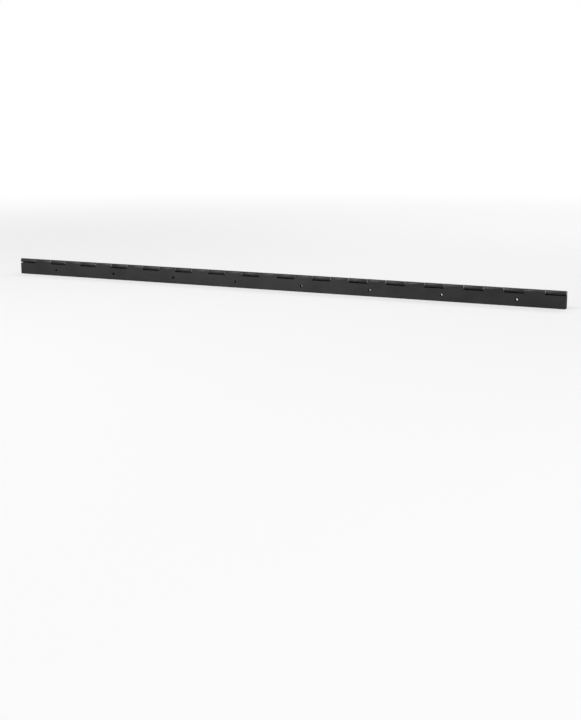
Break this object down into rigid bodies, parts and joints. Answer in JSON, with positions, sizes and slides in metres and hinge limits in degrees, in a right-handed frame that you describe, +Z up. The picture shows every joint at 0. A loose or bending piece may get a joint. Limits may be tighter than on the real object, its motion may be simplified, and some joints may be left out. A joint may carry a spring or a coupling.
{
  "type": "piano hinge",
  "caption": "Long continuous hinge with two narrow steel leaves, interleaved rolled knuckles on one peened pin, and rows of countersunk screw holes.",
  "frame": {"origin": "middle of the frame leaf's row of screw holes, on its mounting face", "axes": "+X along the pin, +Y out of the frame leaf's mounting face, towards the rail that it is screwed to, +Z up from the leaves' free edges to the pin"},
  "size_m": [1.2428, 0.0091, 0.0345],
  "materials": {
    "black_coat": "satin black powder coat with a fine orange peel",
    "pin_steel": "bare drawn steel, peened at both ends"
  },
  "bodies": {
    "frame": {"frame_leaf": "black_coat", "hinge_pin": "pin_steel"},
    "worktop": {"worktop_leaf": "black_coat"}
  },
  "joints": [
    {"name": "fold", "type": "hinge", "parent": "frame", "child": "worktop", "pos_m": [0, -0.00455, 0.0175], "axis": [-1, 0, 0], "range_deg": [0, 270]}
  ]
}
